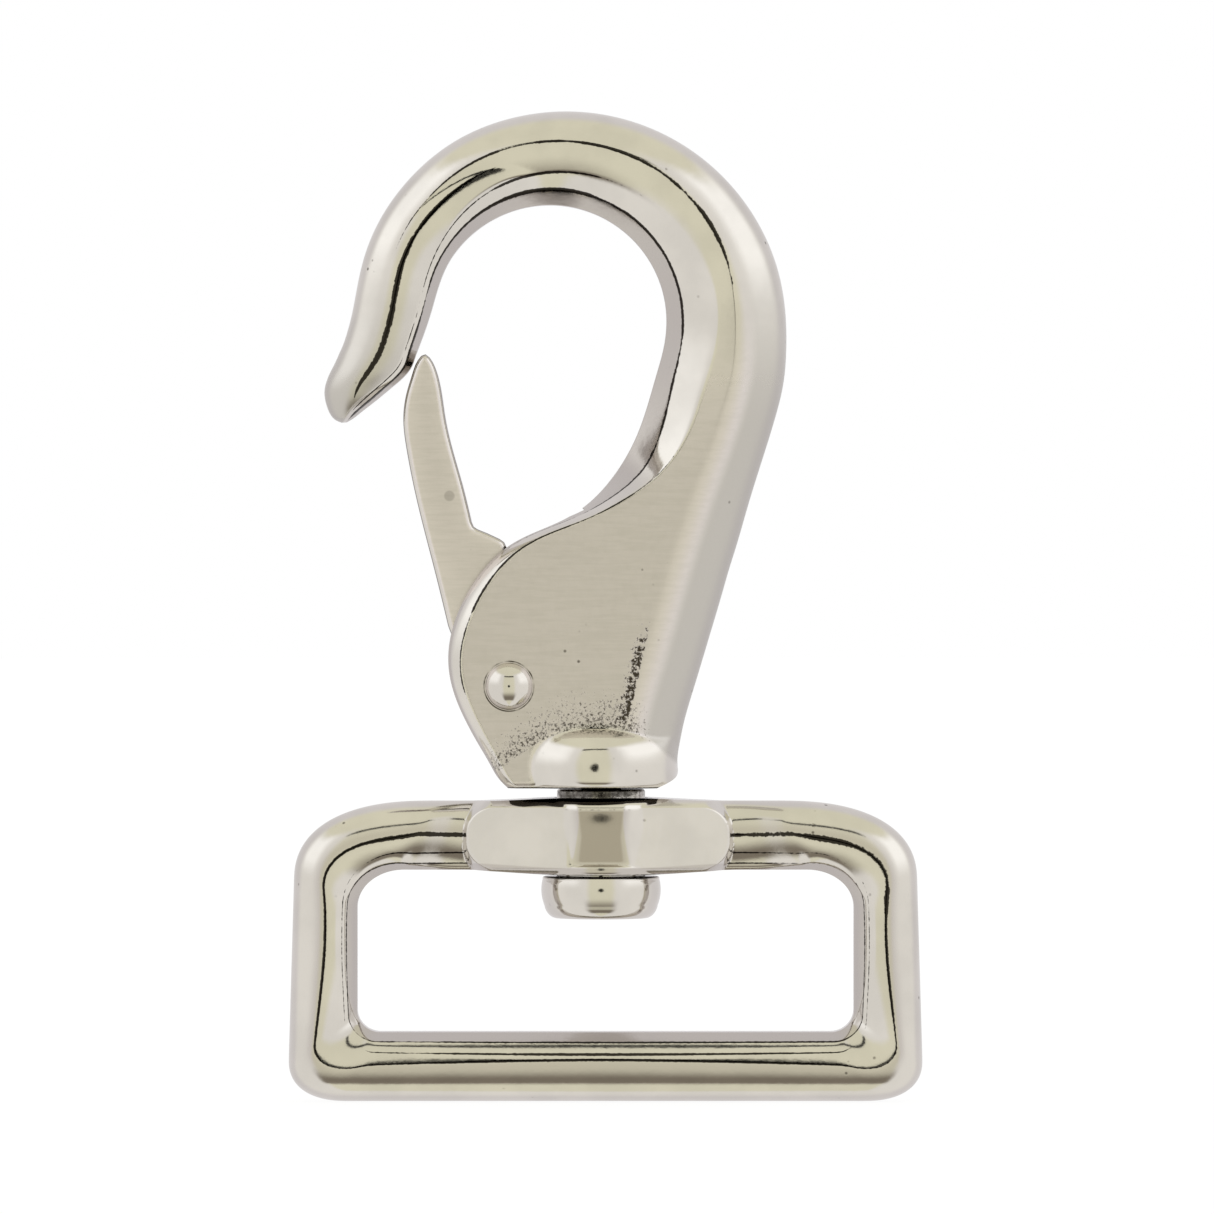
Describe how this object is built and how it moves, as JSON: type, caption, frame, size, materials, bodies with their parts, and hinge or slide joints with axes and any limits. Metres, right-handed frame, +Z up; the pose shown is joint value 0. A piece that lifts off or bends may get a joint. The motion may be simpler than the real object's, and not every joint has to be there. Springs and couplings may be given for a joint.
{
  "type": "swivel snap hook",
  "caption": "Cast swivel snap hook with a sprung tongue gate on a rivet and a rectangular loop for flat webbing on a headed swivel stem.",
  "frame": {"origin": "on the swivel axis, at the middle of the strap's seat on the loop's lower bar", "axes": "+Z up along the swivel axis towards the hook, +X to the right with the nose and gate on the left, +Y away from the viewer, along the gate's rivet"},
  "size_m": [0.0487, 0.0118, 0.0763],
  "materials": {
    "hook_nickel": "nickel plate, polished rounds and satin cheeks",
    "gate_nickel": "nickel plate, satin faces",
    "rivet_nickel": "nickel plate, polished dome",
    "spring_steel": "drawn spring wire",
    "stem_nickel": "nickel plate, polished",
    "loop_nickel": "nickel plate, polished with fine casting ripple"
  },
  "bodies": {
    "hook": {"hook_body": "hook_nickel", "gate_pin": "rivet_nickel", "gate_spring": "spring_steel"},
    "gate": {"gate": "gate_nickel"},
    "stem": {"swivel_stem": "stem_nickel"},
    "loop": {"strap_loop": "loop_nickel"}
  },
  "joints": [
    {"name": "gate_pivot", "type": "hinge", "parent": "hook", "child": "gate", "pos_m": [-0.00705, 0, 0.02663], "axis": [0, 1, 0], "range_deg": [0, 35], "deforming": ["gate_spring"]},
    {"name": "swivel", "type": "hinge", "parent": "hook", "child": "stem", "pos_m": [0, 0, 0.015], "axis": [0, 0, 1], "continuous": true},
    {"name": "end_float", "type": "slide", "parent": "stem", "child": "loop", "axis": [0, 0, 1], "range_m": [0, 0.0005]}
  ]
}
